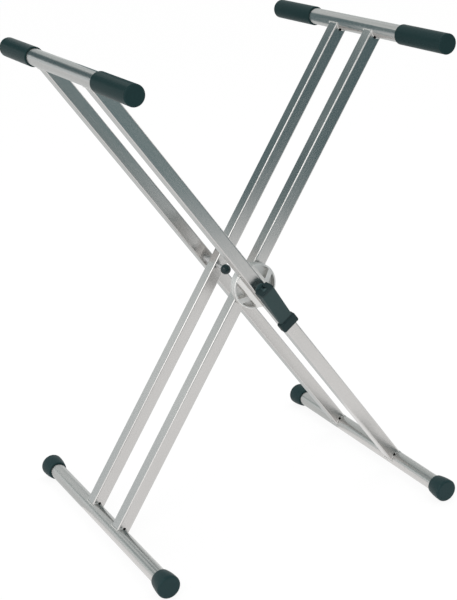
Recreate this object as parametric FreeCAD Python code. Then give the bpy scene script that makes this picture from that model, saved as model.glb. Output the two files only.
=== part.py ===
import FreeCAD, Part
import math
import os

# Folding keyboard stand: two welded tube frames that cross on one pivot line.
# Millimetres, +Z up. X runs across the stand, from one keyboard bar to the other, and Y runs
# along the bars, with the clamping lever on the -Y side. The origin lies on the floor, under
# the pivot. "Outer" is the frame with the wide pair of arms, "inner" the one between them,
# "near" is the -Y side and "far" the +Y side.

V = FreeCAD.Vector

# Frames
ARM_ANGLE = 55.5            # slope of both frames at rest, degrees from the floor
ARM_WIDTH = 25.0            # square tube, over flats
ARM_WALL = 1.5
ARM_CORNER = 2.5            # outside corner radius of the square tube
ARM_BORE_CORNER = 1.0       # inside corner radius
ARM_ABOVE = 501.0           # pivot to the axis of the keyboard bar
ARM_BELOW = 512.0           # pivot to the axis of the foot bar
OUTER_ARM_Y = 96.5          # mid plane to the middle of an outer arm
BAR_D = 30.0
BAR_WALL = 1.5
BAR_REACH = 264.0           # mid plane to the outer face of a sleeve or foot cap
WELD_GAP = 0.05             # root gap between a coped arm and its bar
VENT_R = 3.0                # half-round plating vent at each arm end

# Sleeves and foot caps
COVER_FIT = 0.1             # radial clearance of sleeves and caps on their bars
COVER_SEAT = 0.2            # end clearance between a bar and its cover
SLEEVE_D = 35.0
SLEEVE_LENGTH = 126.0
SLEEVE_END = 3.5            # thickness of the closed end
SLEEVE_ROUND = 2.5
LIP_CHAMFER = 1.0           # at the open end of sleeves and caps
CAP_MOUTH_D = 36.4
CAP_FOOT_D = 43.0           # the cap rests on this end
CAP_LENGTH = 34.0
CAP_END = 5.0
CAP_ROUND = 4.5

# Hub discs, clamped between the near arms
OUTER_DISC_D = 84.0
OUTER_DISC_RISE = 4.0       # its rim, beside the arm, above the arm's seat
OUTER_DISC_WALL = 10.0      # its sloping walls, above the arm's seat
INNER_DISC_D = 78.0
INNER_DISC_RISE = 1.0
INNER_DISC_WALL = 5.0
DISC_T = 8.0                # from the arm's seat to the working face
DISC_EDGE = 1.5             # rounding of the rim
DISC_GAP = 0.5              # daylight between the two discs
RIM_W = 3.5                 # ring left round the pockets, at its top
POCKET_FLOOR = 2.5          # left under a pocket
POCKET_RIB = 10.0           # rib between two pockets, at its top
RIB_FOOT = -9.0             # where a rib's middle meets the wall, along the arm
RIB_LEAN = 28.0             # degrees by which a rib leans up the arm
POCKET_DRAFT = 1.5          # how far a pocket's walls lean in over its depth
POCKET_ROUND = 1.0
SADDLE_WALL = 9.0           # foot of the sloping walls that cradle the arm
SADDLE_LAND = 1.5           # their flat top
SADDLE_FIT = 0.1
LINING_OUTER_D = 72.0
LINING_INNER_D = 48.0
LINING_RECESS = 1.0         # depth of the lining's seat in each disc
LINING_FIT = 0.3
SPRING_POCKET_D = 25.0
SPRING_POCKET_DEPTH = 3.0
SPRING_T = 1.2
SPRING_FIT = 0.3

# Screws that hold the discs, and the strips they bite into
SCREW_D = 5.0
SCREW_HEAD_D = 9.4
SCREW_PITCH = 36.0          # the two screws of a disc, centre to centre
SCREW_SUNK = 0.4            # head below the disc's face
SCREW_FIT = 0.1
STRIP_WIDTH = 17.0
STRIP_LENGTH = 58.0
STRIP_T = 4.0

# Pivot bolts and bushes
BOLT_D = 8.0
RUNNING_FIT = 0.05          # radial clearance of turning and sliding shafts
BUSH_D = 12.0
BUSH_FIT = 0.05
HEX_FLATS = 13.0            # nut and bolt head, over flats
HEX_CHAMFER = 30.0          # degrees, on the corners of nut and bolt head
NUT_T = 8.0
HEAD_T = 5.3
WASHER_D = 17.0
WASHER_T = 1.6
THREAD_SPARE = 3.0          # bolt past its nut
SPACER_D = 14.0
CAGE_NUT_T = 6.5            # square nut caught inside the inner far arm
CAGE_NUT_FIT = 0.2          # its sides to the tube's walls
CAGE_NUT_EDGE = 1.5
PIVOT_ROD = 13.8            # bare bolt between the inner far arm and its round cap
PIVOT_CAP_D = 19.0
PIVOT_CAP_FLAT_D = 11.0
PIVOT_CAP_DEPTH = 12.0      # bolt inside the cap

# Clamping lever
LEVER_WIDTH = 28.0
LEVER_TOP = 8.0             # past the pivot, up the arm
LEVER_TAIL = 79.0           # from the pivot down to the clip
LEVER_HEIGHT = 29.0         # thick end, from the arm's face
LEVER_TAIL_HEIGHT = 8.0
LEVER_GAP = 0.6             # underside to the arm's face
LEVER_WALL = 3.0
LEVER_ROUND = 2.5
LEVER_RIB = 2.0
LEVER_RIBS = 3
CLIP_LENGTH = 19.0
CLIP_WALL = 5.0
CLIP_RAISE = 1.5            # front of the clip, out from the lever's tail
CLIP_FIT = 0.5
CLIP_DEPTH = 3.5            # how far the clip reaches down the arm's sides
CLIP_ROUND = 3.5
LEVER_TURN = 100.0          # opening angle
PIN_D = 6.0
PIN_HEIGHT = 16.0           # pin axis above the arm's face
PIN_SUNK = 0.5              # pin ends below the lever's sides
EYE_D = 13.0
EYE_WIDTH = 8.0
EYE_FIT = 0.3
CAM_LIFT = 1.2              # bolt travel between the clamped and the open lever
CAM_GAP = 0.2
PLATE_D = 24.0
PLATE_T = 1.5

# Worked-out places, all along Y for the near side
bar_r = BAR_D / 2
half_arm = ARM_WIDTH / 2
hub_stack = 2 * DISC_T + DISC_GAP
inner_arm_y = OUTER_ARM_Y - ARM_WIDTH - hub_stack
outer_face = OUTER_ARM_Y + half_arm
outer_seat = OUTER_ARM_Y - half_arm
inner_seat = inner_arm_y + half_arm
inner_face = inner_arm_y - half_arm
pivot_z = ARM_BELOW * math.sin(math.radians(ARM_ANGLE)) + CAP_FOOT_D / 2
bush_r = BUSH_D / 2
bolt_r = BOLT_D / 2
cage_nut_start = inner_face + ARM_WALL + CAGE_NUT_FIT
cage_washer_start = cage_nut_start + CAGE_NUT_T
cap_seat = inner_face - PIVOT_ROD
pin_y = -(outer_face + PIN_HEIGHT)
cam_turn = math.radians(90 - LEVER_TURN / 2)
cam_offset = CAM_LIFT / (2 * math.cos(cam_turn))


def box(low, high):
    """Box between two corners given as (x, y, z)."""
    size = [b - a for a, b in zip(low, high)]
    return Part.makeBox(*size, V(*low))


def rod(radius, start, end, x=0.0):
    """Cylinder along Y from start to end."""
    return Part.makeCylinder(radius, end - start, V(x, start, 0), V(0, 1, 0))


def ring(outer, inner, start, end):
    """Tube along Y."""
    return rod(outer, start, end).cut(rod(inner, start, end))


def outline_face(points, arcs=()):
    """Face inside a closed outline of points.

    arcs holds the places in points of those that lie on an arc between their two neighbours.
    """
    edges = []
    closed = points + points[:1]
    start = 0
    while start < len(points):
        if start + 1 in arcs:
            edges.append(Part.Arc(*closed[start:start + 3]).toShape())
            start += 2
        else:
            edges.append(Part.LineSegment(*closed[start:start + 2]).toShape())
            start += 1
    return Part.Face(Part.Wire(edges))


def turned(points, arcs=()):
    """Solid of revolution about Y from (radius, y) points, some of them on arcs."""
    face = outline_face([V(r, y, 0) for r, y in points], arcs)
    return face.revolve(V(0, 0, 0), V(0, 1, 0), 360)


def rounded_corner(radius, y, rounding):
    """Three (radius, y) points of a quarter arc at the outer corner of a near end."""
    middle = rounding * (1 - math.sqrt(0.5))
    return [(radius, y + rounding), (radius - middle, y + middle), (radius - rounding, y)]


def hexagon(flats, start, end):
    """Hexagonal prism along Y with chamfered corners."""
    radius = flats / math.sqrt(3)
    angles = [math.radians(60 * i) for i in range(7)]
    outline = Part.makePolygon([V(radius * math.cos(a), start, radius * math.sin(a)) for a in angles])
    prism = Part.Face(outline).extrude(V(0, end - start, 0))
    flat_r = flats / 2
    chamfer = (radius - flat_r) * math.tan(math.radians(HEX_CHAMFER))
    crown = turned([
        (0, start), (flat_r, start), (radius, start + chamfer),
        (radius, end - chamfer), (flat_r, end), (0, end),
    ])
    return prism.common(crown)


def edges_along(shape, axis):
    """Straight edges parallel to an axis."""
    straight = [e for e in shape.Edges if e.Curve.TypeId == "Part::GeomLine"]
    return [e for e in straight if abs(e.tangentAt(e.FirstParameter).dot(axis)) > 0.999]


def circles_at(shape, y, radius):
    """Circular edges about the Y axis, at one height and radius."""
    circles = [e for e in shape.Edges if e.Curve.TypeId == "Part::GeomCircle"]
    return [
        e for e in circles
        if abs(e.Curve.Center.y - y) < 1e-4 and abs(e.Curve.Radius - radius) < 1e-4
    ]


def far_side(shape):
    """Mirror image on the far side of the mid plane."""
    return shape.mirror(V(0, 0, 0), V(0, 1, 0))


def moved(shape, offset):
    """Copy of a shape, shifted."""
    copy = shape.copy()
    copy.translate(V(*offset))
    return copy


def square_bar(width, corner, start, end):
    """Solid square bar along X with rounded long edges."""
    block = box((start, -width / 2, -width / 2), (end, width / 2, width / 2))
    return block.makeFillet(corner, edges_along(block, V(1, 0, 0)))


def arm(y, hub_side=0, near_hole=bush_r + BUSH_FIT):
    """Square tube coped to both bars, with pivot holes, and screw holes on the hub side.

    hub_side is -1 or +1 where a hub disc sits on that face, and 0 for a far arm. near_hole is
    the radius of the pivot hole in the near wall; the far wall has room for a bush.
    """
    tube = square_bar(ARM_WIDTH, ARM_CORNER, -ARM_BELOW, ARM_ABOVE)
    tube = tube.cut(square_bar(ARM_WIDTH - 2 * ARM_WALL, ARM_BORE_CORNER, -ARM_BELOW, ARM_ABOVE))
    cuts = [rod(near_hole, -ARM_WIDTH, 0), rod(bush_r + BUSH_FIT, 0, ARM_WIDTH)]
    for end, inward in ((ARM_ABOVE, -1), (-ARM_BELOW, 1)):
        cuts.append(rod(bar_r + WELD_GAP, -ARM_WIDTH, ARM_WIDTH, x=end))
        cuts.append(rod(VENT_R, -ARM_WIDTH, ARM_WIDTH, x=end + inward * bar_r))
    if hub_side:
        wall = sorted((0, hub_side * ARM_WIDTH))
        for x in (-SCREW_PITCH / 2, SCREW_PITCH / 2):
            cuts.append(rod(SCREW_D / 2 + SCREW_FIT, *wall, x=x))
    return moved(tube.cut(cuts), (0, y, 0))


def bar(x, cover_end):
    """Round tube along Y, reaching into the closed ends of its covers."""
    reach = BAR_REACH - cover_end - COVER_SEAT
    return moved(ring(bar_r, bar_r - BAR_WALL, -reach, reach), (x, 0, 0))


def sleeve(x):
    """Near sleeve of a keyboard bar: a closed cup with a rounded end."""
    bore = bar_r + COVER_FIT
    outer = SLEEVE_D / 2
    mouth = -(BAR_REACH - SLEEVE_LENGTH)
    floor = -(BAR_REACH - SLEEVE_END)
    cup = turned([
        (bore, mouth), (outer - LIP_CHAMFER, mouth), (outer, mouth - LIP_CHAMFER),
        *rounded_corner(outer, -BAR_REACH, SLEEVE_ROUND), (0, -BAR_REACH), (0, floor), (bore, floor),
    ], arcs=[4])
    return moved(cup, (x, 0, 0))


def foot_cap(x):
    """Near cap of a foot bar: a closed cup that bellies out to its outer end."""
    bore = bar_r + COVER_FIT
    mouth_r = CAP_MOUTH_D / 2
    foot_r = CAP_FOOT_D / 2
    mouth = -(BAR_REACH - CAP_LENGTH)
    floor = -(BAR_REACH - CAP_END)
    belly_start = mouth - LIP_CHAMFER
    belly_end = -(BAR_REACH - CAP_ROUND)
    belly_r = (mouth_r + 3 * foot_r) / 4    # halfway along an arc that ends parallel to the bar
    cup = turned([
        (bore, mouth), (mouth_r - LIP_CHAMFER, mouth), (mouth_r, belly_start),
        (belly_r, (belly_start + belly_end) / 2), *rounded_corner(foot_r, -BAR_REACH, CAP_ROUND),
        (0, -BAR_REACH), (0, floor), (bore, floor),
    ], arcs=[3, 5])
    return moved(cup, (x, 0, 0))


def pocket_outline(diameter, side, y, draw_in):
    """Outline at height y of the pocket above (side 1) or below (side -1) the rib of a disc.

    All its edges are drawn in by draw_in.
    """
    radius = diameter / 2 - RIM_W - draw_in
    wall = half_arm + SADDLE_FIT + SADDLE_WALL
    lean = math.radians(RIB_LEAN)
    from_rib = side * (POCKET_RIB / 2 + draw_in)
    foot = RIB_FOOT + (from_rib + draw_in * math.sin(lean)) / math.cos(lean)
    from_axis = RIB_FOOT * math.cos(lean) - wall * math.sin(lean) + from_rib
    tip = math.acos(from_axis / radius) - lean
    base = math.acos(side * math.sqrt(1 - ((wall + draw_in) / radius) ** 2))
    sweep = [V(radius * math.cos(a), y, radius * math.sin(a)) for a in (base, (base + tip) / 2, tip)]
    return outline_face([V(foot, y, wall + draw_in), *sweep], arcs=[2]).OuterWire


def disc_pockets(diameter, top):
    """The four drafted pockets of a hub disc, from its rim at y = top."""
    floor = DISC_T - POCKET_FLOOR
    pockets = []
    for side in (1, -1):
        wires = [
            pocket_outline(diameter, side, top, 0),
            pocket_outline(diameter, side, floor, POCKET_DRAFT),
        ]
        pocket = Part.makeLoft(wires, True, True)
        upright = [e for e in pocket.Edges if e.BoundBox.YLength > (floor - top) / 2]
        pocket = pocket.makeFillet(POCKET_ROUND, upright)
        pockets += [pocket, pocket.mirror(V(0, 0, 0), V(0, 0, 1))]
    return pockets


def saddle_wall(diameter, rise, height):
    """Sloping wall along one side of the arm, from the disc's rim up to its own height."""
    start = -diameter / 2
    inner = half_arm + SADDLE_FIT
    wall = outline_face([
        V(start, 0, inner), V(start, -height, inner), V(start, -height, inner + SADDLE_LAND),
        V(start, -rise, inner + SADDLE_WALL), V(start, 0, inner + SADDLE_WALL),
    ]).extrude(V(diameter, 0, 0))
    return wall.common(rod(diameter / 2 - DISC_EDGE, -height, 0))


def hub_disc(diameter, rise, wall_height):
    """Cast disc that sits on an arm's face at y = 0, with its working face at y = DISC_T.

    Its rim and two sloping walls rise beside the arm, pockets lighten the rest, and the working
    face has seats for the lining, the spring washers and the screw heads.
    """
    radius = diameter / 2
    disc = rod(radius, -rise, DISC_T)
    disc = disc.makeFillet(DISC_EDGE, circles_at(disc, -rise, radius))
    half = half_arm + SADDLE_FIT
    disc = disc.cut(box((-radius, -rise, -half), (radius, 0, half)))
    wall = saddle_wall(diameter, rise, wall_height)
    disc = disc.fuse([wall, wall.mirror(V(0, 0, 0), V(0, 0, 1))])
    head_r = SCREW_HEAD_D / 2
    shank_r = SCREW_D / 2 + SCREW_FIT
    cuts = disc_pockets(diameter, -rise) + [
        rod(bolt_r + RUNNING_FIT, 0, DISC_T),
        rod(SPRING_POCKET_D / 2, DISC_T - SPRING_POCKET_DEPTH, DISC_T),
        ring(LINING_OUTER_D / 2, LINING_INNER_D / 2, DISC_T - LINING_RECESS, DISC_T),
    ]
    sink = turned([
        (0, 0), (shank_r, 0), (shank_r, DISC_T - SCREW_SUNK - (head_r - SCREW_D / 2)),
        (head_r + SCREW_FIT, DISC_T - SCREW_SUNK), (head_r + SCREW_FIT, DISC_T), (0, DISC_T),
    ])
    cuts += [moved(sink, (x, 0, 0)) for x in (-SCREW_PITCH / 2, SCREW_PITCH / 2)]
    return disc.cut(cuts).removeSplitter()


def hub_screws():
    """The two countersunk screws of a hub disc, in the disc's own place."""
    head_r = SCREW_HEAD_D / 2
    shank_r = SCREW_D / 2
    top = DISC_T - SCREW_SUNK
    tip = -(ARM_WALL + STRIP_T)
    screw = turned([
        (0, tip), (shank_r, tip), (shank_r, top - (head_r - shank_r)), (head_r, top), (0, top),
    ])
    return Part.makeCompound([moved(screw, (x, 0, 0)) for x in (-SCREW_PITCH / 2, SCREW_PITCH / 2)])


def nut_strip():
    """Tapped strip inside the arm, under a hub disc."""
    top = -ARM_WALL
    strip = box(
        (-STRIP_LENGTH / 2, top - STRIP_T, -STRIP_WIDTH / 2),
        (STRIP_LENGTH / 2, top, STRIP_WIDTH / 2),
    )
    cuts = [rod(bush_r + BUSH_FIT, top - STRIP_T, top)]
    for x in (-SCREW_PITCH / 2, SCREW_PITCH / 2):
        cuts.append(rod(SCREW_D / 2 + SCREW_FIT, top - STRIP_T, top, x=x))
    return strip.cut(cuts)


def on_outer_seat(shape):
    """A hub piece on the outer arm's inward face."""
    return moved(shape, (0, -outer_seat, 0))


def on_inner_seat(shape):
    """A hub piece on the inner arm's outward face, turned to meet the outer disc."""
    copy = shape.copy()
    copy.rotate(V(0, 0, 0), V(1, 0, 0), 180)
    return moved(copy, (0, -inner_seat, 0))


def friction_lining():
    """Ring in the lining seats of both discs."""
    start = -outer_seat + DISC_T - LINING_RECESS
    end = -inner_seat - DISC_T + LINING_RECESS
    return ring(LINING_OUTER_D / 2 - LINING_FIT, LINING_INNER_D / 2 + LINING_FIT, start, end)


def spring_washers():
    """Two coned washers, rim to rim, that part the discs when the lever opens."""
    start = -outer_seat + DISC_T - SPRING_POCKET_DEPTH
    middle = start + SPRING_POCKET_DEPTH + DISC_GAP / 2
    outer = SPRING_POCKET_D / 2 - SPRING_FIT
    inner = bolt_r + SPRING_FIT
    cone = turned([
        (inner, start), (outer, middle - SPRING_T), (outer, middle), (inner, start + SPRING_T),
    ])
    other = cone.mirror(V(0, middle, 0), V(0, 1, 0))
    return Part.makeCompound([cone, other])


def bush(start, end):
    """Plain bush of a pivot bolt."""
    return ring(bush_r, bolt_r + RUNNING_FIT, start, end)


def arm_bush(y):
    """Bush through an arm, flush with both faces."""
    return bush(y - half_arm, y + half_arm)


def cam_plate():
    """Hardened pad under the cam."""
    return ring(PLATE_D / 2, bolt_r + RUNNING_FIT, -(outer_face + PLATE_T), -outer_face)


def clamp_washer():
    """Washer under the nut of the draw bolt."""
    return ring(WASHER_D / 2, bolt_r + RUNNING_FIT, -inner_face, -inner_face + WASHER_T)


def clamp_nut():
    """Nut of the draw bolt, on the inner arm."""
    start = -inner_face + WASHER_T
    return hexagon(HEX_FLATS, start, start + NUT_T).cut(rod(bolt_r + RUNNING_FIT, start, start + NUT_T))


def draw_bolt():
    """Bolt with an eye for the cam pin, from the lever to its nut."""
    end = -inner_face + WASHER_T + NUT_T + THREAD_SPARE
    half_eye = EYE_WIDTH / 2
    eye = Part.makeCylinder(EYE_D / 2, EYE_WIDTH, V(0, pin_y, -half_eye), V(0, 0, 1))
    hole = Part.makeCylinder(PIN_D / 2 + RUNNING_FIT, EYE_WIDTH, V(0, pin_y, -half_eye), V(0, 0, 1))
    return eye.fuse(rod(bolt_r, pin_y, end)).cut(hole).removeSplitter()


def cam_pin():
    """Cross pin that carries the lever in the bolt's eye."""
    length = LEVER_WIDTH - 2 * PIN_SUNK
    return Part.makeCylinder(PIN_D / 2, length, V(0, pin_y, -length / 2), V(0, 0, 1))


def lever_point(s, u):
    """Point on the lever's mid plane: s up the arm from the pivot, u out from the arm's face."""
    return V(s, -(outer_face + u), 0)


def slab(points, width, arcs=()):
    """Prism of a closed outline of lever points, centred on the lever's mid plane."""
    return moved(outline_face(points, arcs).extrude(V(0, 0, width)), (0, 0, -width / 2))


def lever_front(s):
    """Height of the lever's tapered front face at s."""
    slope = (LEVER_HEIGHT - LEVER_TAIL_HEIGHT) / (LEVER_TOP + LEVER_TAIL)
    return LEVER_HEIGHT + slope * (s - LEVER_TOP)


def lever_body():
    """Wedge with a round cam at its thick end, hollow from below, with cross ribs."""
    cam_r = PIN_HEIGHT - PLATE_T - CAM_GAP - cam_offset * math.cos(cam_turn)
    cam_s = -cam_offset * math.sin(cam_turn)
    cam_u = PIN_HEIGHT - cam_offset * math.cos(cam_turn)
    heel = -(PLATE_D / 2 + LEVER_WALL)
    diagonal = cam_r * math.sqrt(0.5)
    cam_in = lever_point(cam_s - diagonal, cam_u - diagonal)
    cam_low = lever_point(cam_s, cam_u - cam_r)
    crown = cam_u - math.sqrt(cam_r ** 2 - (LEVER_TOP - cam_s) ** 2)
    cam_out = lever_point(LEVER_TOP, crown)
    corners = [
        cam_out, lever_point(LEVER_TOP, LEVER_HEIGHT), lever_point(-LEVER_TAIL, LEVER_TAIL_HEIGHT),
        lever_point(-LEVER_TAIL, LEVER_GAP), lever_point(heel, LEVER_GAP), cam_in,
    ]
    body = slab(corners + [cam_low], LEVER_WIDTH, arcs=[6])
    body = body.makeFillet(LEVER_ROUND, [
        e for e in body.Edges
        if abs(abs(e.CenterOfMass.z) - LEVER_WIDTH / 2) < 1e-4
        and e.CenterOfMass.y < pin_y + LEVER_HEIGHT / 4
        and e.Length > LEVER_TAIL / 2
    ])
    pocket_top = heel - LEVER_WALL
    pocket_end = -(LEVER_TAIL - 2 * LEVER_WALL)
    hollow = slab([
        lever_point(pocket_top, -LEVER_GAP), lever_point(pocket_top, lever_front(pocket_top) - LEVER_WALL),
        lever_point(pocket_end, lever_front(pocket_end) - LEVER_WALL), lever_point(pocket_end, -LEVER_GAP),
    ], LEVER_WIDTH - 2 * LEVER_WALL)
    pitch = (pocket_end - pocket_top) / (LEVER_RIBS + 1)
    for i in range(LEVER_RIBS):
        s = pocket_top + (i + 1) * pitch
        low = (s - LEVER_RIB / 2, -(outer_face + LEVER_HEIGHT), -LEVER_WIDTH / 2)
        high = (s + LEVER_RIB / 2, -(outer_face + LEVER_GAP), LEVER_WIDTH / 2)
        hollow = hollow.cut(box(low, high))
    return body.cut(hollow)


def lever_clip():
    """Fork at the lever's tail that snaps over the arm's sides."""
    inner = half_arm + CLIP_FIT
    outer = inner + CLIP_WALL
    start = -(LEVER_TAIL + CLIP_LENGTH)
    front = -(outer_face + LEVER_TAIL_HEIGHT + CLIP_RAISE)
    seat = -(outer_face + LEVER_GAP)
    back = -(outer_face - CLIP_DEPTH)
    fork = box((start, front, -outer), (-LEVER_TAIL, back, outer))
    fork = fork.makeFillet(CLIP_ROUND, [
        e for e in fork.Edges
        if e.CenterOfMass.y < back - 1e-4 and abs(e.CenterOfMass.z) > outer - 1e-4
        or e.CenterOfMass.y < front + 1e-4
    ])
    return fork.cut(box((start, seat, -inner), (-LEVER_TAIL, back, inner)))


def eye_slot():
    """Room for the bolt's eye and shank in the lever, over its whole turn."""
    reach = LEVER_TAIL
    half = bolt_r + EYE_FIT
    tilt = math.radians(LEVER_TURN - 90)
    across = V(-math.sin(tilt), -math.cos(tilt), 0) * half
    along = V(math.cos(tilt), -math.sin(tilt), 0) * reach
    pin = lever_point(0, PIN_HEIGHT)
    sweep = slab([
        lever_point(-half, -reach), lever_point(-half, PIN_HEIGHT), pin + across, pin + across + along,
        lever_point(reach, -reach),
    ], EYE_WIDTH + 2 * EYE_FIT)
    depth = EYE_WIDTH + 2 * EYE_FIT
    eye = Part.makeCylinder(EYE_D / 2 + EYE_FIT, depth, V(0, pin_y, -depth / 2), V(0, 0, 1))
    return sweep.fuse(eye)


def clamp_lever():
    """Moulded lever: cam, wedge-shaped grip and snap-on clip in one piece."""
    start = V(0, pin_y, -LEVER_WIDTH / 2)
    bearing = Part.makeCylinder(PIN_D / 2 + RUNNING_FIT, LEVER_WIDTH, start, V(0, 0, 1))
    return lever_body().fuse(lever_clip()).cut([eye_slot(), bearing]).removeSplitter()


def pivot_bolt():
    """Hexagon bolt of the far pivot, headed on the outer arm."""
    head_start = outer_face + WASHER_T
    tip = cap_seat - PIVOT_CAP_DEPTH
    head = hexagon(HEX_FLATS, head_start, head_start + HEAD_T)
    return head.fuse(rod(bolt_r, tip, head_start)).removeSplitter()


def pivot_washer(start):
    """Washer of the far pivot."""
    return ring(WASHER_D / 2, bolt_r + RUNNING_FIT, start, start + WASHER_T)


def pivot_nut():
    """Square nut of the far pivot, caught inside the inner arm so that it can't turn."""
    half = half_arm - ARM_WALL - CAGE_NUT_FIT
    block = box((-half, cage_nut_start, -half), (half, cage_washer_start, half))
    block = block.makeChamfer(CAGE_NUT_EDGE, edges_along(block, V(0, 1, 0)) + edges_along(block, V(1, 0, 0)))
    return block.cut(rod(bolt_r + RUNNING_FIT, cage_nut_start, cage_washer_start))


def pivot_spacer():
    """Spacer between the far arms, as long as the hub discs are thick."""
    return ring(SPACER_D / 2, bolt_r + RUNNING_FIT, inner_seat, outer_seat)


def pivot_cap():
    """Ball on the end of the far pivot bolt, flat where the bolt goes in."""
    bore = bolt_r + RUNNING_FIT
    ball_r = PIVOT_CAP_D / 2
    flat_r = PIVOT_CAP_FLAT_D / 2
    centre = cap_seat - math.sqrt(ball_r ** 2 - flat_r ** 2)
    floor = cap_seat - PIVOT_CAP_DEPTH - COVER_SEAT
    return turned([
        (bore, cap_seat), (flat_r, cap_seat), (ball_r, centre), (0, centre - ball_r),
        (0, floor), (bore, floor),
    ], arcs=[2])


def place(shape, turn):
    """Turn a piece from its frame's own axes, X up along the arm, into the standing part."""
    copy = shape.copy()
    copy.rotate(V(0, 0, 0), V(0, 1, 0), turn)
    copy.translate(V(0, 0, pivot_z))
    return copy


def frame_pieces(name):
    """Bars, sleeves and caps of one frame, in the frame's own axes."""
    return {
        f"{name}_keyboard_bar": bar(ARM_ABOVE, SLEEVE_END),
        f"{name}_foot_bar": bar(-ARM_BELOW, CAP_END),
        f"{name}_sleeve_near": sleeve(ARM_ABOVE),
        f"{name}_sleeve_far": far_side(sleeve(ARM_ABOVE)),
        f"{name}_foot_cap_near": foot_cap(-ARM_BELOW),
        f"{name}_foot_cap_far": far_side(foot_cap(-ARM_BELOW)),
    }


outer_frame = {
    "outer_arm_near": arm(-OUTER_ARM_Y, 1),
    "outer_arm_far": arm(OUTER_ARM_Y),
    **frame_pieces("outer"),
    "hub_disc_outer": on_outer_seat(hub_disc(OUTER_DISC_D, OUTER_DISC_RISE, OUTER_DISC_WALL)),
    "hub_screws_outer": on_outer_seat(hub_screws()),
    "hub_nut_strip_outer": on_outer_seat(nut_strip()),
    "spring_washers": spring_washers(),
    "outer_bush_near": arm_bush(-OUTER_ARM_Y),
    "outer_bush_far": arm_bush(OUTER_ARM_Y),
    "cam_plate": cam_plate(),
    "draw_bolt": draw_bolt(),
    "cam_pin": cam_pin(),
    "clamp_washer": clamp_washer(),
    "clamp_nut": clamp_nut(),
    "clamp_lever": clamp_lever(),
    "pivot_head_washer": pivot_washer(outer_face),
    "pivot_spacer": pivot_spacer(),
}

inner_frame = {
    "inner_arm_near": arm(-inner_arm_y, -1),
    "inner_arm_far": arm(inner_arm_y, near_hole=bolt_r + RUNNING_FIT),
    **frame_pieces("inner"),
    "hub_disc_inner": on_inner_seat(hub_disc(INNER_DISC_D, INNER_DISC_RISE, INNER_DISC_WALL)),
    "hub_screws_inner": on_inner_seat(hub_screws()),
    "hub_nut_strip_inner": on_inner_seat(nut_strip()),
    "friction_lining": friction_lining(),
    "inner_bush_near": arm_bush(-inner_arm_y),
    "inner_bush_far": bush(cage_washer_start + WASHER_T, inner_seat),
    "pivot_bolt": pivot_bolt(),
    "pivot_nut_washer": pivot_washer(cage_washer_start),
    "pivot_nut": pivot_nut(),
    "pivot_cap": pivot_cap(),
}

os.makedirs("parts", exist_ok=True)
for pieces, turn in ((outer_frame, 180 + ARM_ANGLE), (inner_frame, -ARM_ANGLE)):
    for node, shape in pieces.items():
        place(shape, turn).exportStep(f"parts/{node}.step")
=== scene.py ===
"""Looks of a folding keyboard stand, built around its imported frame.

Metres, +Z up. X runs from one keyboard bar to the other, Y runs along the bars, and the clamping
lever is on the -Y side. Sizes of the pieces are written in millimetres and turned by MM.
"""

import logging
import math
from collections.abc import Iterable
from dataclasses import dataclass, field
from enum import Enum
from typing import Any

import bpy
from mathutils import Matrix, Vector


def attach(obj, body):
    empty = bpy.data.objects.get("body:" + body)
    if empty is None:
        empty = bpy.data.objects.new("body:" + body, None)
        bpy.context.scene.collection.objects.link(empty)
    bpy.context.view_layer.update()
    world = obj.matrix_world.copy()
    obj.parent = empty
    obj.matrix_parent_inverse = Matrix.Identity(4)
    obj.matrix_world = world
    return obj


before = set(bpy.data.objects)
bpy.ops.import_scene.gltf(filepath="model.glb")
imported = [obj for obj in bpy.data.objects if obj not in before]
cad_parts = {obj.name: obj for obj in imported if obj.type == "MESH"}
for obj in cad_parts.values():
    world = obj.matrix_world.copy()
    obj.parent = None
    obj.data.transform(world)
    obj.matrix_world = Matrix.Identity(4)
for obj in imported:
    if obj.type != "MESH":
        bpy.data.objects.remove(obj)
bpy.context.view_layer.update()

Pair = tuple[float, float]
Triple = tuple[float, float, float]
Colour = tuple[float, float, float, float]

MM = 0.001
ARM_SLOPE = math.radians(55.5)
PIVOT_HEIGHT_MM = 443.45
PIVOT = (0.0, 0.0, PIVOT_HEIGHT_MM * MM)
WHITE: Colour = (1.0, 1.0, 1.0, 1.0)
log = logging.getLogger("keyboard_stand")


def linear(hex_colour: str) -> Colour:
    """Turns an sRGB hex colour to linear light.

    Args:
        hex_colour: Six hex digits after a hash sign.

    Returns:
        Red, green, blue and an alpha of 1.
    """
    parts = [int(hex_colour[i:i + 2], 16) / 255 for i in (1, 3, 5)]
    light = [c / 12.92 if c <= 0.04045 else ((c + 0.055) / 1.055) ** 2.4 for c in parts]
    return (*light, 1.0)


def add_node(
    tree: bpy.types.NodeTree,
    kind: str,
    settings: dict[str, Any] | None = None,
    inputs: dict[Any, Any] | None = None,
) -> bpy.types.Node:
    """Adds a shader node with its settings and links.

    Args:
        tree: Node tree that gets the node.
        kind: Blender's name of the node type.
        settings: Properties of the node.
        inputs: Socket name or number, with a value or an output socket to link from.

    Returns:
        The new node.
    """
    node = tree.nodes.new(kind)
    for name, value in (settings or {}).items():
        setattr(node, name, value)
    for socket, value in (inputs or {}).items():
        if isinstance(value, bpy.types.NodeSocket):
            tree.links.new(value, node.inputs[socket])
        else:
            node.inputs[socket].default_value = value
    return node


def new_material(name: str) -> tuple[bpy.types.Material, bpy.types.NodeTree, bpy.types.Node]:
    """Makes an empty node material.

    Args:
        name: Name of the material.

    Returns:
        The material, its node tree and its output node.
    """
    material = bpy.data.materials.new(name)
    material.use_nodes = True
    tree = material.node_tree
    tree.nodes.clear()
    return material, tree, add_node(tree, "ShaderNodeOutputMaterial")


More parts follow.
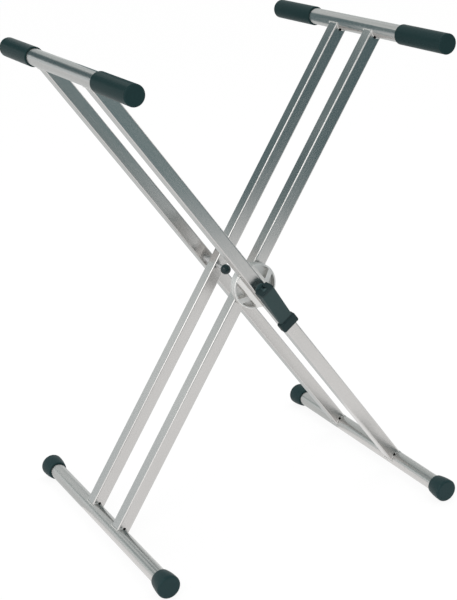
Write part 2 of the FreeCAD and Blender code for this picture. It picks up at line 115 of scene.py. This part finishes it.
class Run(Enum):
    """Direction that a tube runs in, as the turn that lays its length along X."""

    OUTER_ARM = (0.0, -ARM_SLOPE, 0.0)
    INNER_ARM = (0.0, ARM_SLOPE, 0.0)
    BAR = (0.0, 0.0, math.pi / 2)


@dataclass(frozen=True)
class PlatedSteel:
    """Bright nickel on drawn steel tube.

    The tube is drawn through a die, which leaves faint lines along its length, then polished and
    plated. The plating is almost a mirror, softened along the lines and a little cloudy.
    """

    colour: str = "#CBC9C7"
    roughness: float = 0.25
    roughness_spread: float = 0.03
    line_mm: float = 3.0            # real lines are under 0.2 mm apart, drawn coarser to show
    line_length_mm: float = 260.0
    line_depth_mm: float = 0.0002
    line_strength: float = 0.5
    line_detail: float = 2.0
    cloud_mm: float = 45.0
    cloud_detail: float = 3.0
    noise_range: Pair = (0.6, 1.4)  # where most of the sum of lines and clouds lies

    def material(self, run: Run) -> bpy.types.Material:
        """Makes the plating for tubes of one direction.

        Args:
            run: Direction of the tube.

        Returns:
            The material.
        """
        material, tree, output = new_material(f"bright_nickel_{run.name.lower()}")
        place = add_node(tree, "ShaderNodeTexCoord")
        along = add_node(
            tree, "ShaderNodeMapping", inputs={"Vector": place.outputs["Object"], "Rotation": run.value},
        )
        stretch = (self.line_mm / self.line_length_mm, 1, 1)
        squeezed = add_node(
            tree, "ShaderNodeMapping", inputs={"Vector": along.outputs[0], "Scale": stretch},
        )
        lines = add_node(
            tree, "ShaderNodeTexNoise",
            inputs={
                "Vector": squeezed.outputs[0], "Scale": 1 / (self.line_mm * MM),
                "Detail": self.line_detail,
            },
        )
        clouds = add_node(
            tree, "ShaderNodeTexNoise",
            inputs={
                "Vector": place.outputs["Object"], "Scale": 1 / (self.cloud_mm * MM),
                "Detail": self.cloud_detail,
            },
        )
        mixed = add_node(
            tree, "ShaderNodeMath", {"operation": "ADD"},
            {0: lines.outputs["Fac"], 1: clouds.outputs["Fac"]},
        )
        rough = add_node(
            tree, "ShaderNodeMapRange",
            inputs={
                "Value": mixed.outputs[0],
                "From Min": self.noise_range[0], "From Max": self.noise_range[1],
                "To Min": self.roughness - self.roughness_spread,
                "To Max": self.roughness + self.roughness_spread,
            },
        )
        bump = add_node(
            tree, "ShaderNodeBump",
            inputs={
                "Height": lines.outputs["Fac"], "Strength": self.line_strength,
                "Distance": self.line_depth_mm * MM,
            },
        )
        shader = add_node(
            tree, "ShaderNodeBsdfPrincipled",
            inputs={
                "Base Color": linear(self.colour), "Metallic": 1.0,
                "Roughness": rough.outputs[0], "Normal": bump.outputs[0],
            },
        )
        tree.links.new(shader.outputs[0], output.inputs[0])
        return material


@dataclass(frozen=True)
class Grained:
    """Surface with a fine, even grain: moulded, cast, plated or pressed.

    Real grains of these kinds are 0.1 to 0.4 mm wide, which would not show, so they are drawn coarser.
    """

    name: str
    colour: str
    roughness: float
    grain_mm: float
    grain_depth_mm: float
    metallic: float = 0.0
    shine: float = 0.5              # share of the usual reflection of a non-metal
    edge_mm: float = 0.3            # rounding that every real edge keeps from its mould or tool
    edge_samples: int = 6
    grain_strength: float = 0.6
    grain_detail: float = 3.0
    noise_range: Pair = (0.3, 0.7)  # where most of the grain's noise lies
    roughness_spread: float = 0.07

    def base_colour(self, tree: bpy.types.NodeTree) -> Colour | bpy.types.NodeSocket:
        """Gives the colour, or the socket that a colour comes from."""
        return linear(self.colour)

    def material(self) -> bpy.types.Material:
        """Makes the grained surface.

        Returns:
            The material.
        """
        material, tree, output = new_material(self.name)
        place = add_node(tree, "ShaderNodeTexCoord")
        grain = add_node(
            tree, "ShaderNodeTexNoise",
            inputs={
                "Vector": place.outputs["Object"], "Scale": 1 / (self.grain_mm * MM),
                "Detail": self.grain_detail,
            },
        )
        rough = add_node(
            tree, "ShaderNodeMapRange",
            inputs={
                "Value": grain.outputs["Fac"],
                "From Min": self.noise_range[0], "From Max": self.noise_range[1],
                "To Min": self.roughness - self.roughness_spread,
                "To Max": self.roughness + self.roughness_spread,
            },
        )
        edge = add_node(
            tree, "ShaderNodeBevel", {"samples": self.edge_samples}, {"Radius": self.edge_mm * MM},
        )
        bump = add_node(
            tree, "ShaderNodeBump",
            inputs={
                "Height": grain.outputs["Fac"], "Strength": self.grain_strength,
                "Distance": self.grain_depth_mm * MM, "Normal": edge.outputs[0],
            },
        )
        shader = add_node(
            tree, "ShaderNodeBsdfPrincipled",
            inputs={
                "Base Color": self.base_colour(tree), "Metallic": self.metallic,
                "Roughness": rough.outputs[0], "Specular IOR Level": self.shine,
                "Normal": bump.outputs[0],
            },
        )
        tree.links.new(shader.outputs[0], output.inputs[0])
        return material


@dataclass(frozen=True)
class GripNylon(Grained):
    """Moulded nylon of the lever, painted paler on its grip, between the cam and the clip, as painted
    light.
    """

    # Paler colour painted on the grip, a painted lighter tone that stands in for the light falling on it.
    grip_painted_light_colour: str = "#263A3B"
    grip_start_mm: float = -5.0     # from the pivot, down the outer arm
    grip_end_mm: float = 78.0
    fade_mm: float = 3.0

    def base_colour(self, tree: bpy.types.NodeTree) -> bpy.types.NodeSocket:
        """Mixes the moulded colour and the paler colour painted on the grip as painted light.

        Args:
            tree: Node tree of the material.

        Returns:
            The socket that gives the colour.
        """
        place = add_node(tree, "ShaderNodeTexCoord")
        from_pivot = add_node(
            tree, "ShaderNodeVectorMath", {"operation": "SUBTRACT"}, {0: place.outputs["Object"], 1: PIVOT},
        )
        along = add_node(
            tree, "ShaderNodeMapping",
            inputs={"Vector": from_pivot.outputs[0], "Rotation": Run.OUTER_ARM.value},
        )
        down = add_node(tree, "ShaderNodeSeparateXYZ", inputs={0: along.outputs[0]})
        middle = (self.grip_start_mm + self.grip_end_mm) / 2 * MM
        half = (self.grip_end_mm - self.grip_start_mm) / 2 * MM
        from_middle = add_node(
            tree, "ShaderNodeMath", {"operation": "SUBTRACT"}, {0: down.outputs["X"], 1: middle},
        )
        distance = add_node(
            tree, "ShaderNodeMath", {"operation": "ABSOLUTE"}, {0: from_middle.outputs[0]},
        )
        share = add_node(
            tree, "ShaderNodeMapRange",
            inputs={
                "Value": distance.outputs[0], "From Min": half, "From Max": half - self.fade_mm * MM,
            },
        )
        # A colour mix has its factor in socket 0, its colours in 6 and 7, and its result in output 2.
        mix = add_node(
            tree, "ShaderNodeMix", {"data_type": "RGBA"},
            {0: share.outputs[0], 6: linear(self.colour), 7: linear(self.grip_painted_light_colour)},
        )
        return mix.outputs[2]


NICKEL = PlatedSteel()
# Weld metal freezes in ripples, and the plating over it stays duller than on the polished tube.
WELD_METAL = Grained("nickel_on_weld_metal", "#DCDBD9", 0.5, 1.0, 0.02, metallic=1.0)
# The sleeves are extruded, so they are smooth, with a soft satin shine and no visible grain.
SLEEVE_PLASTIC = Grained("satin_polyethylene", "#1D3031", 0.3, 0.9, 0.02, shine=0.04, edge_mm=0.6)
# The caps come from a spark-eroded mould, which leaves a coarse grain that breaks up the light.
FOOT_RUBBER = Grained("grained_rubber", "#1B3234", 0.42, 1.8, 0.3, shine=0.16, edge_mm=0.8)
# Glass fibres lie close under the moulded skin, which makes it dull and slightly uneven.
# The grip of the lever is painted paler than the rest, as painted light.
LEVER_NYLON = GripNylon("glass_filled_nylon", "#182B2D", 0.5, 1.2, 0.12, shine=0.22, edge_mm=0.8)
# The ball is pressed in a polished mould and tumbled, so it is dark and glossy.
BALL_PHENOLIC = Grained("polished_phenolic", "#16292B", 0.12, 3.0, 0.002, shine=0.3)
# Die castings are blasted with beads, which leaves a fine, even grain and a pale, soft sheen.
CAST_ALUMINIUM = Grained("blasted_die_casting", "#E3E2E0", 0.48, 0.9, 0.02, metallic=1.0, edge_mm=0.8)
# Zinc plated in a barrel, bright but a little cloudy from the knocks.
ZINC_PLATE = Grained("bright_zinc_plate", "#E6E8E9", 0.45, 2.0, 0.004, metallic=1.0)
# Blackened in a hot salt bath and oiled, which gives a deep, half-matt grey.
BLACK_OXIDE = Grained("black_oxide_steel", "#33494B", 0.5, 1.2, 0.01)
# Pressed from powder and sintered, so its surface is full of fine pores.
BRONZE = Grained("sintered_bronze", "#9A7B4F", 0.45, 0.5, 0.02, metallic=1.0)
# Fibre and resin pressed to a plate, matt and speckled.
LINING = Grained("pressed_friction_lining", "#4A423A", 0.85, 0.9, 0.1, shine=0.3)


def dress(name: str, material: bpy.types.Material) -> None:
    """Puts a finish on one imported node.

    Args:
        name: Name of the node.
        material: The finish.
    """
    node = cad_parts[name]
    node.data.materials.clear()
    node.data.materials.append(material)
    log.info("finish on %s: %s", name, material.name)


def dress_groups(groups: Iterable[tuple[tuple[str, ...], Grained]]) -> None:
    """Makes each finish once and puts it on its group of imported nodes.

    Args:
        groups: Names of nodes, with their finish.
    """
    for names, finish in groups:
        material = finish.material()
        for name in names:
            dress(name, material)


def only(piece: bpy.types.Object) -> None:
    """Makes one object the selected and active one.

    Args:
        piece: The object.
    """
    bpy.ops.object.select_all(action="DESELECT")
    piece.select_set(True)
    bpy.context.view_layer.objects.active = piece


def apply_modifiers(piece: bpy.types.Object) -> None:
    """Applies all the modifiers of an object.

    Args:
        piece: The object, which is left selected and active.
    """
    only(piece)
    for modifier in list(piece.modifiers):
        bpy.ops.object.modifier_apply(modifier=modifier.name)


class Side(Enum):
    """The two frames, as the sign of X in the direction up their arms."""

    OUTER = -1
    INNER = 1


@dataclass
class TubeFrame:
    """One welded frame: two square arms, a keyboard bar, a foot bar and the welds between them."""

    side: Side
    arm_y_mm: float                 # mid plane to the middle of an arm
    arm_mm: float = 25.0
    bar_mm: float = 30.0
    arm_above_mm: float = 501.0     # pivot to the axis of the keyboard bar
    arm_below_mm: float = 512.0     # pivot to the axis of the foot bar
    drop_mm: float = 2.8            # length of one frozen drop of weld metal
    drop_pitch_mm: float = 2.1
    drop_segments: int = 10
    drop_rings: int = 6
    bead_mm: float = 2.4            # across the bead
    bead_rise: float = 0.125        # share of its width by which the bead's middle clears the bar
    vent_turn: float = math.radians(15)
    skin_mm: float = 0.35           # voxel size that melts the drops together

    @property
    def name(self) -> str:
        """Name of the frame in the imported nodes."""
        return self.side.name.lower()

    @property
    def bead_radius_mm(self) -> float:
        """Distance from the bar's axis to the middle of a bead."""
        return self.bar_mm / 2 + self.bead_mm * self.bead_rise

    def drop(self, place: Triple, scale: Triple) -> bpy.types.Object:
        """Models one drop of weld metal.

        Args:
            place: Centre in millimetres.
            scale: Size along X, Y and Z in millimetres.

        Returns:
            The drop.
        """
        bpy.ops.object.select_all(action="DESELECT")
        bpy.ops.mesh.primitive_uv_sphere_add(
            segments=self.drop_segments, ring_count=self.drop_rings, radius=0.5,
            location=[v * MM for v in place],
        )
        drop = bpy.context.object
        drop.scale = [v * MM for v in scale]
        bpy.ops.object.transform_apply(location=True, rotation=True, scale=True)
        return drop

    def straight_bead(self, turn: float) -> bpy.types.Object:
        """Models the bead along the bar, on one flat side of the arm.

        Args:
            turn: Angle round the bar from the arm's direction.

        Returns:
            The bead, for an arm that goes up Z from a bar along Y.
        """
        radius = self.bead_radius_mm
        place = (radius * math.sin(turn), -self.arm_mm / 2, radius * math.cos(turn))
        bead = self.drop(place, (self.bead_mm, self.drop_mm, self.bead_mm))
        row = bead.modifiers.new("row", "ARRAY")
        row.use_relative_offset = False
        row.use_constant_offset = True
        row.count = round(self.arm_mm / self.drop_pitch_mm) + 1
        row.constant_offset_displace = (0, self.arm_mm * MM / (row.count - 1), 0)
        apply_modifiers(bead)
        return bead

    def arc_bead(self, y_sign: int, start: float, end: float) -> bpy.types.Object:
        """Models the bead round the bar, on a near or far side of the arm, up to the vent.

        Args:
            y_sign: -1 for the near side of the arm, +1 for the far side.
            start: First angle round the bar from the arm's direction.
            end: Last angle.

        Returns:
            The bead, for an arm that goes up Z from a bar along Y.
        """
        radius = self.bead_radius_mm
        place = (radius * math.sin(start), y_sign * self.arm_mm / 2, radius * math.cos(start))
        bead = self.drop(place, (self.drop_mm, self.bead_mm, self.bead_mm))
        steps = round(radius * abs(end - start) / self.drop_pitch_mm)
        only(bead)
        bpy.ops.object.mode_set(mode="EDIT")
        bpy.ops.mesh.select_all(action="SELECT")
        bpy.ops.mesh.spin(
            steps=steps, dupli=True, angle=start - end, center=(0, 0, 0), axis=(0, 1, 0),
        )
        bpy.ops.object.mode_set(mode="OBJECT")
        return bead

    def bead(self) -> bpy.types.Object:
        """Models the whole weld of one arm end, melted to one skin.

        Returns:
            The weld, for an arm that goes up Z from a bar along Y.
        """
        edge = math.asin(self.arm_mm / self.bar_mm)
        pieces = [self.straight_bead(turn) for turn in (-edge, edge)]
        for y_sign in (-1, 1):
            pieces += [self.arc_bead(y_sign, turn * edge, turn * self.vent_turn) for turn in (-1, 1)]
        only(pieces[0])
        for piece in pieces:
            piece.select_set(True)
        bpy.ops.object.join()
        weld = bpy.context.object
        skin = weld.modifiers.new("skin", "REMESH")
        skin.mode = "VOXEL"
        skin.voxel_size = self.skin_mm * MM
        skin.use_smooth_shade = True
        apply_modifiers(weld)
        bpy.ops.object.mode_set(mode="EDIT")
        bpy.ops.mesh.select_all(action="SELECT")
        bpy.ops.mesh.normals_make_consistent(inside=False)
        bpy.ops.object.mode_set(mode="OBJECT")
        return weld

    def weld_arms(self, plating: bpy.types.Material) -> None:
        """Copies the weld to the four arm ends of the frame.

        Args:
            plating: Finish of the welds.
        """
        master = self.bead()
        up = Vector((self.side.value * math.cos(ARM_SLOPE), 0, math.sin(ARM_SLOPE)))
        for end, reach, way in (("top", self.arm_above_mm, -1), ("foot", -self.arm_below_mm, 1)):
            for near, sign in (("near", -1), ("far", 1)):
                only(master)
                bpy.ops.object.duplicate(linked=False)
                weld = bpy.context.object
                weld.name = f"{self.name}_weld_{end}_{near}"
                place = up * reach * MM + Vector((0, sign * self.arm_y_mm * MM, PIVOT_HEIGHT_MM * MM))
                turn = Vector((0, 0, 1)).rotation_difference(up * way)
                weld.matrix_world = Matrix.Translation(place) @ turn.to_matrix().to_4x4()
                bpy.ops.object.transform_apply(location=True, rotation=True, scale=True)
                weld.data.materials.append(plating)
                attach(weld, f"{self.name}_frame")
                log.info("weld: %s", weld.name)
        bpy.data.objects.remove(master)

    def build(self) -> None:
        """Plates the tubes and adds the welds."""
        arms = NICKEL.material(Run.OUTER_ARM if self.side is Side.OUTER else Run.INNER_ARM)
        bars = NICKEL.material(Run.BAR)
        for place in ("near", "far"):
            dress(f"{self.name}_arm_{place}", arms)
        for place in ("keyboard", "foot"):
            dress(f"{self.name}_{place}_bar", bars)
        self.weld_arms(WELD_METAL.material())


@dataclass
class BarCovers:
    """Sleeves on the keyboard bars and caps on the foot bars."""

    frames: tuple[str, ...] = ("outer", "inner")
    places: tuple[str, ...] = ("near", "far")

    def build(self) -> None:
        """Dresses the sleeves and caps."""
        ends = [(name, place) for name in self.frames for place in self.places]
        sleeves = tuple(f"{name}_sleeve_{place}" for name, place in ends)
        caps = tuple(f"{name}_foot_cap_{place}" for name, place in ends)
        dress_groups(((sleeves, SLEEVE_PLASTIC), (caps, FOOT_RUBBER)))


@dataclass
class HubClamp:
    """Cast discs, lining, springs, screws and the draw bolt with its cam lever."""

    discs: tuple[str, ...] = ("hub_disc_outer", "hub_disc_inner")
    plated: tuple[str, ...] = (
        "hub_screws_outer", "hub_screws_inner", "hub_nut_strip_outer", "hub_nut_strip_inner",
        "clamp_washer", "clamp_nut",
    )
    blackened: tuple[str, ...] = ("draw_bolt", "cam_pin", "cam_plate", "spring_washers")
    bushes: tuple[str, ...] = ("outer_bush_near", "inner_bush_near")
    lining: tuple[str, ...] = ("friction_lining",)
    lever: tuple[str, ...] = ("clamp_lever",)

    def build(self) -> None:
        """Dresses the pieces of the hub."""
        dress_groups((
            (self.discs, CAST_ALUMINIUM), (self.plated, ZINC_PLATE), (self.blackened, BLACK_OXIDE),
            (self.bushes, BRONZE), (self.lining, LINING), (self.lever, LEVER_NYLON),
        ))


@dataclass
class FarPivot:
    """Bolt, nut, washers and spacer of the far pivot, with a ball on the bolt's end."""

    plated: tuple[str, ...] = (
        "pivot_bolt", "pivot_head_washer", "pivot_spacer", "pivot_nut_washer", "pivot_nut",
    )
    bushes: tuple[str, ...] = ("outer_bush_far", "inner_bush_far")
    ball: tuple[str, ...] = ("pivot_cap",)

    def build(self) -> None:
        """Dresses the pieces of the far pivot."""
        dress_groups(((self.plated, ZINC_PLATE), (self.bushes, BRONZE), (self.ball, BALL_PHENOLIC)))


@dataclass
class KeyboardStand:
    """The whole stand, as its sub-assemblies."""

    outer: TubeFrame = field(default_factory=lambda: TubeFrame(Side.OUTER, arm_y_mm=96.5))
    inner: TubeFrame = field(default_factory=lambda: TubeFrame(Side.INNER, arm_y_mm=55.0))
    covers: BarCovers = field(default_factory=BarCovers)
    clamp: HubClamp = field(default_factory=HubClamp)
    pivot: FarPivot = field(default_factory=FarPivot)

    def build(self) -> None:
        """Builds every sub-assembly."""
        for part in (self.outer, self.inner, self.covers, self.clamp, self.pivot):
            part.build()


class Facing(Enum):
    """How a card lies or stands, as its turn about X, Y and Z."""

    FLAT = (0.0, 0.0, 0.0)
    ALONG_X = (math.pi / 2, 0.0, 0.0)
    ALONG_Y = (math.pi / 2, 0.0, math.pi / 2)


@dataclass(frozen=True)
class Card:
    """Flat studio card of even brightness that only shows in reflections."""

    name: str
    centre: Triple
    size: Pair                      # width and height
    colour: str
    facing: Facing = Facing.ALONG_X
    strength: float = 1.0           # 1 for a lit surface and more for a lamp

    def build(self) -> None:
        """Adds the card to the stage."""
        material, tree, output = new_material(self.name)
        glow = add_node(
            tree, "ShaderNodeEmission",
            inputs={"Color": linear(self.colour), "Strength": self.strength},
        )
        tree.links.new(glow.outputs[0], output.inputs[0])
        bpy.ops.object.select_all(action="DESELECT")
        bpy.ops.mesh.primitive_plane_add(size=1, location=self.centre, rotation=self.facing.value)
        card = bpy.context.object
        card.name = self.name
        card.scale = (*self.size, 1)
        card.data.materials.append(material)
        card.visible_camera = False
        card.visible_diffuse = False
        card.visible_shadow = False
        card.visible_transmission = False


@dataclass(frozen=True)
class Softbox:
    """Area lamp that points at the middle of the stand and never shows itself."""

    name: str
    place: Triple
    size: Pair                      # width and height
    power: float                    # watts

    def build(self) -> None:
        """Hangs the lamp."""
        data = bpy.data.lights.new(self.name, "AREA")
        data.shape = "RECTANGLE"
        data.size, data.size_y = self.size
        data.energy = self.power
        lamp = bpy.data.objects.new(self.name, data)
        bpy.context.scene.collection.objects.link(lamp)
        aim = (Vector(PIVOT) - Vector(self.place)).to_track_quat("-Z", "Y")
        lamp.matrix_world = Matrix.Translation(self.place) @ aim.to_matrix().to_4x4()
        lamp.visible_camera = False
        lamp.visible_glossy = False


@dataclass
class Studio:
    """White floor, softboxes, cards for the metal to reflect, and the camera."""

    camera_place: Triple = (-1.07082, -2.00419, 1.26590)
    camera_right: Triple = (0.87308, -0.4849, -0.05103)
    camera_up: Triple = (0.21646, 0.2917, 0.9317)
    camera_reach: float = 100.0
    lens_mm: float = 79.59
    sensor_mm: float = 36.0
    floor_size: float = 60.0
    floor_glow: float = 0.9         # share of the floor that is white whatever falls on it
    paper: Colour = (0.95, 0.95, 0.95, 1.0)
    soft_light: float = 1.0
    cards: tuple[Card, ...] = (
        # The arms' near faces reflect these two, dark at the top and white floor further down.
        Card("front_wall", (0.35, -1.6, 0.5), (1.3, 1.0), "#7A8F92"),
        Card("front_wall_right", (2.75, -1.25, 0.5), (4.0, 1.0), "#5A7074"),
        # The upper left faces of the inner arms reflect these, and so do the left sides of the bars.
        Card("back_wall_left", (-9.6, 8.0, 4.9), (12.0, 4.0), "#94A2A2"),
        Card("back_wall_low", (-8.0, 8.0, 1.6), (14.0, 2.6), "#CFD7D9"),
        Card("back_wall_mid", (-8.0, 7.98, 2.6), (14.0, 1.4), "#F6FAFA"),
        # Dark stripes along the keyboard bars, and the dark upper half of the inner arms.
        Card("shade_left", (-0.53, 0.8, 1.215), (0.4, 0.47), "#465C60"),
        Card("shade_right", (0.045, 0.45, 0.85), (0.21, 0.58), "#5C7276"),
        Card("shade_arm", (-0.29, 0.8, 0.92), (0.22, 0.36), "#5C7276"),
        # The tops of the bars reflect the right part of the back wall and the ceiling.
        Card("back_wall_right", (5.8, 8.0, 3.75), (18.0, 1.7), "#B4BCBC"),
        Card("back_wall_tall", (5.8, 8.02, 3.5), (18.0, 7.0), "#E2E6E6"),
        Card("ceiling", (0.0, 0.0, 7.0), (24.0, 16.0), "#B4BBBA", Facing.FLAT),
        # The undersides of the bars and of the outer arms reflect this one.
        Card("floor_card", (0.0, 4.1, 0.002), (12.0, 8.0), "#DADDDD", Facing.FLAT),
        # Bright edges on everything that faces left.
        Card("left_softbox", (-2.0, -0.6, 2.1), (2.2, 1.6), "#FFFFFF", Facing.ALONG_Y, 2.6),
        Card("left_softbox_low", (-2.0, -0.6, 0.65), (2.2, 1.3), "#FFFFFF", Facing.ALONG_Y, 1.35),
    )
    lamps: tuple[Softbox, ...] = (
        Softbox("key_softbox", (-1.6, -1.8, 2.4), (1.4, 1.0), 18.0),
        Softbox("top_softbox", (0.8, 0.6, 2.8), (1.6, 1.2), 14.0),
    )

    def camera(self) -> None:
        """Sets the camera at the photograph's viewpoint."""
        data = bpy.data.cameras.new("camera")
        data.lens = self.lens_mm
        data.sensor_width = self.sensor_mm
        data.clip_end = self.camera_reach
        camera = bpy.data.objects.new("camera", data)
        bpy.context.scene.collection.objects.link(camera)
        right = Vector(self.camera_right).normalized()
        up = (Vector(self.camera_up) - right * right.dot(Vector(self.camera_up))).normalized()
        turn = Matrix((right, up, right.cross(up))).transposed()
        camera.matrix_world = Matrix.Translation(self.camera_place) @ turn.to_4x4()
        bpy.context.scene.camera = camera

    def seen_share(self, tree: bpy.types.NodeTree) -> bpy.types.NodeSocket:
        """Finds the rays that look at a surface: from the camera, a reflection or through glass.

        Args:
            tree: Node tree that gets the nodes.

        Returns:
            The socket that is 1 for such a ray and 0 for the others.
        """
        path = add_node(tree, "ShaderNodeLightPath")
        seen = add_node(
            tree, "ShaderNodeMath", {"operation": "MAXIMUM"},
            {0: path.outputs["Is Camera Ray"], 1: path.outputs["Is Glossy Ray"]},
        )
        return add_node(
            tree, "ShaderNodeMath", {"operation": "MAXIMUM"},
            {0: seen.outputs[0], 1: path.outputs["Is Transmission Ray"]},
        ).outputs[0]

    def paper_material(self) -> bpy.types.Material:
        """Makes the white paper floor, which looks white and keeps the shadow.

        Returns:
            The material.
        """
        material, tree, output = new_material("white_paper_floor")
        share = add_node(
            tree, "ShaderNodeMath", {"operation": "MULTIPLY"},
            {0: self.seen_share(tree), 1: self.floor_glow},
        )
        paper = add_node(tree, "ShaderNodeBsdfDiffuse", inputs={"Color": self.paper})
        glow = add_node(tree, "ShaderNodeEmission", inputs={"Color": WHITE, "Strength": 1.0})
        mix = add_node(
            tree, "ShaderNodeMixShader",
            inputs={0: share.outputs[0], 1: paper.outputs[0], 2: glow.outputs[0]},
        )
        tree.links.new(mix.outputs[0], output.inputs[0])
        return material

    def floor(self) -> None:
        """Lays the floor."""
        bpy.ops.object.select_all(action="DESELECT")
        bpy.ops.mesh.primitive_plane_add(size=self.floor_size)
        floor = bpy.context.object
        floor.name = "floor"
        floor.data.materials.append(self.paper_material())

    def world(self) -> None:
        """Makes the surroundings white to the eye and a plain soft light on the object."""
        world = bpy.data.worlds.new("studio")
        world.use_nodes = True
        bpy.context.scene.world = world
        tree = world.node_tree
        tree.nodes.clear()
        output = add_node(tree, "ShaderNodeOutputWorld")
        soft = add_node(
            tree, "ShaderNodeBackground", inputs={"Color": WHITE, "Strength": self.soft_light},
        )
        white = add_node(tree, "ShaderNodeBackground", inputs={"Color": WHITE, "Strength": 1.0})
        mix = add_node(
            tree, "ShaderNodeMixShader",
            inputs={0: self.seen_share(tree), 1: soft.outputs[0], 2: white.outputs[0]},
        )
        tree.links.new(mix.outputs[0], output.inputs[0])

    def build(self) -> None:
        """Sets up the whole studio."""
        self.camera()
        self.world()
        self.floor()
        for item in (*self.cards, *self.lamps):
            item.build()
            log.info("studio: %s", item.name)


def main() -> None:
    """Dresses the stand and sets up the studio."""
    logging.basicConfig(level=logging.INFO, format="%(message)s")
    bpy.context.scene.view_settings.view_transform = "Standard"
    KeyboardStand().build()
    Studio().build()


if __name__ == "__main__":
    main()
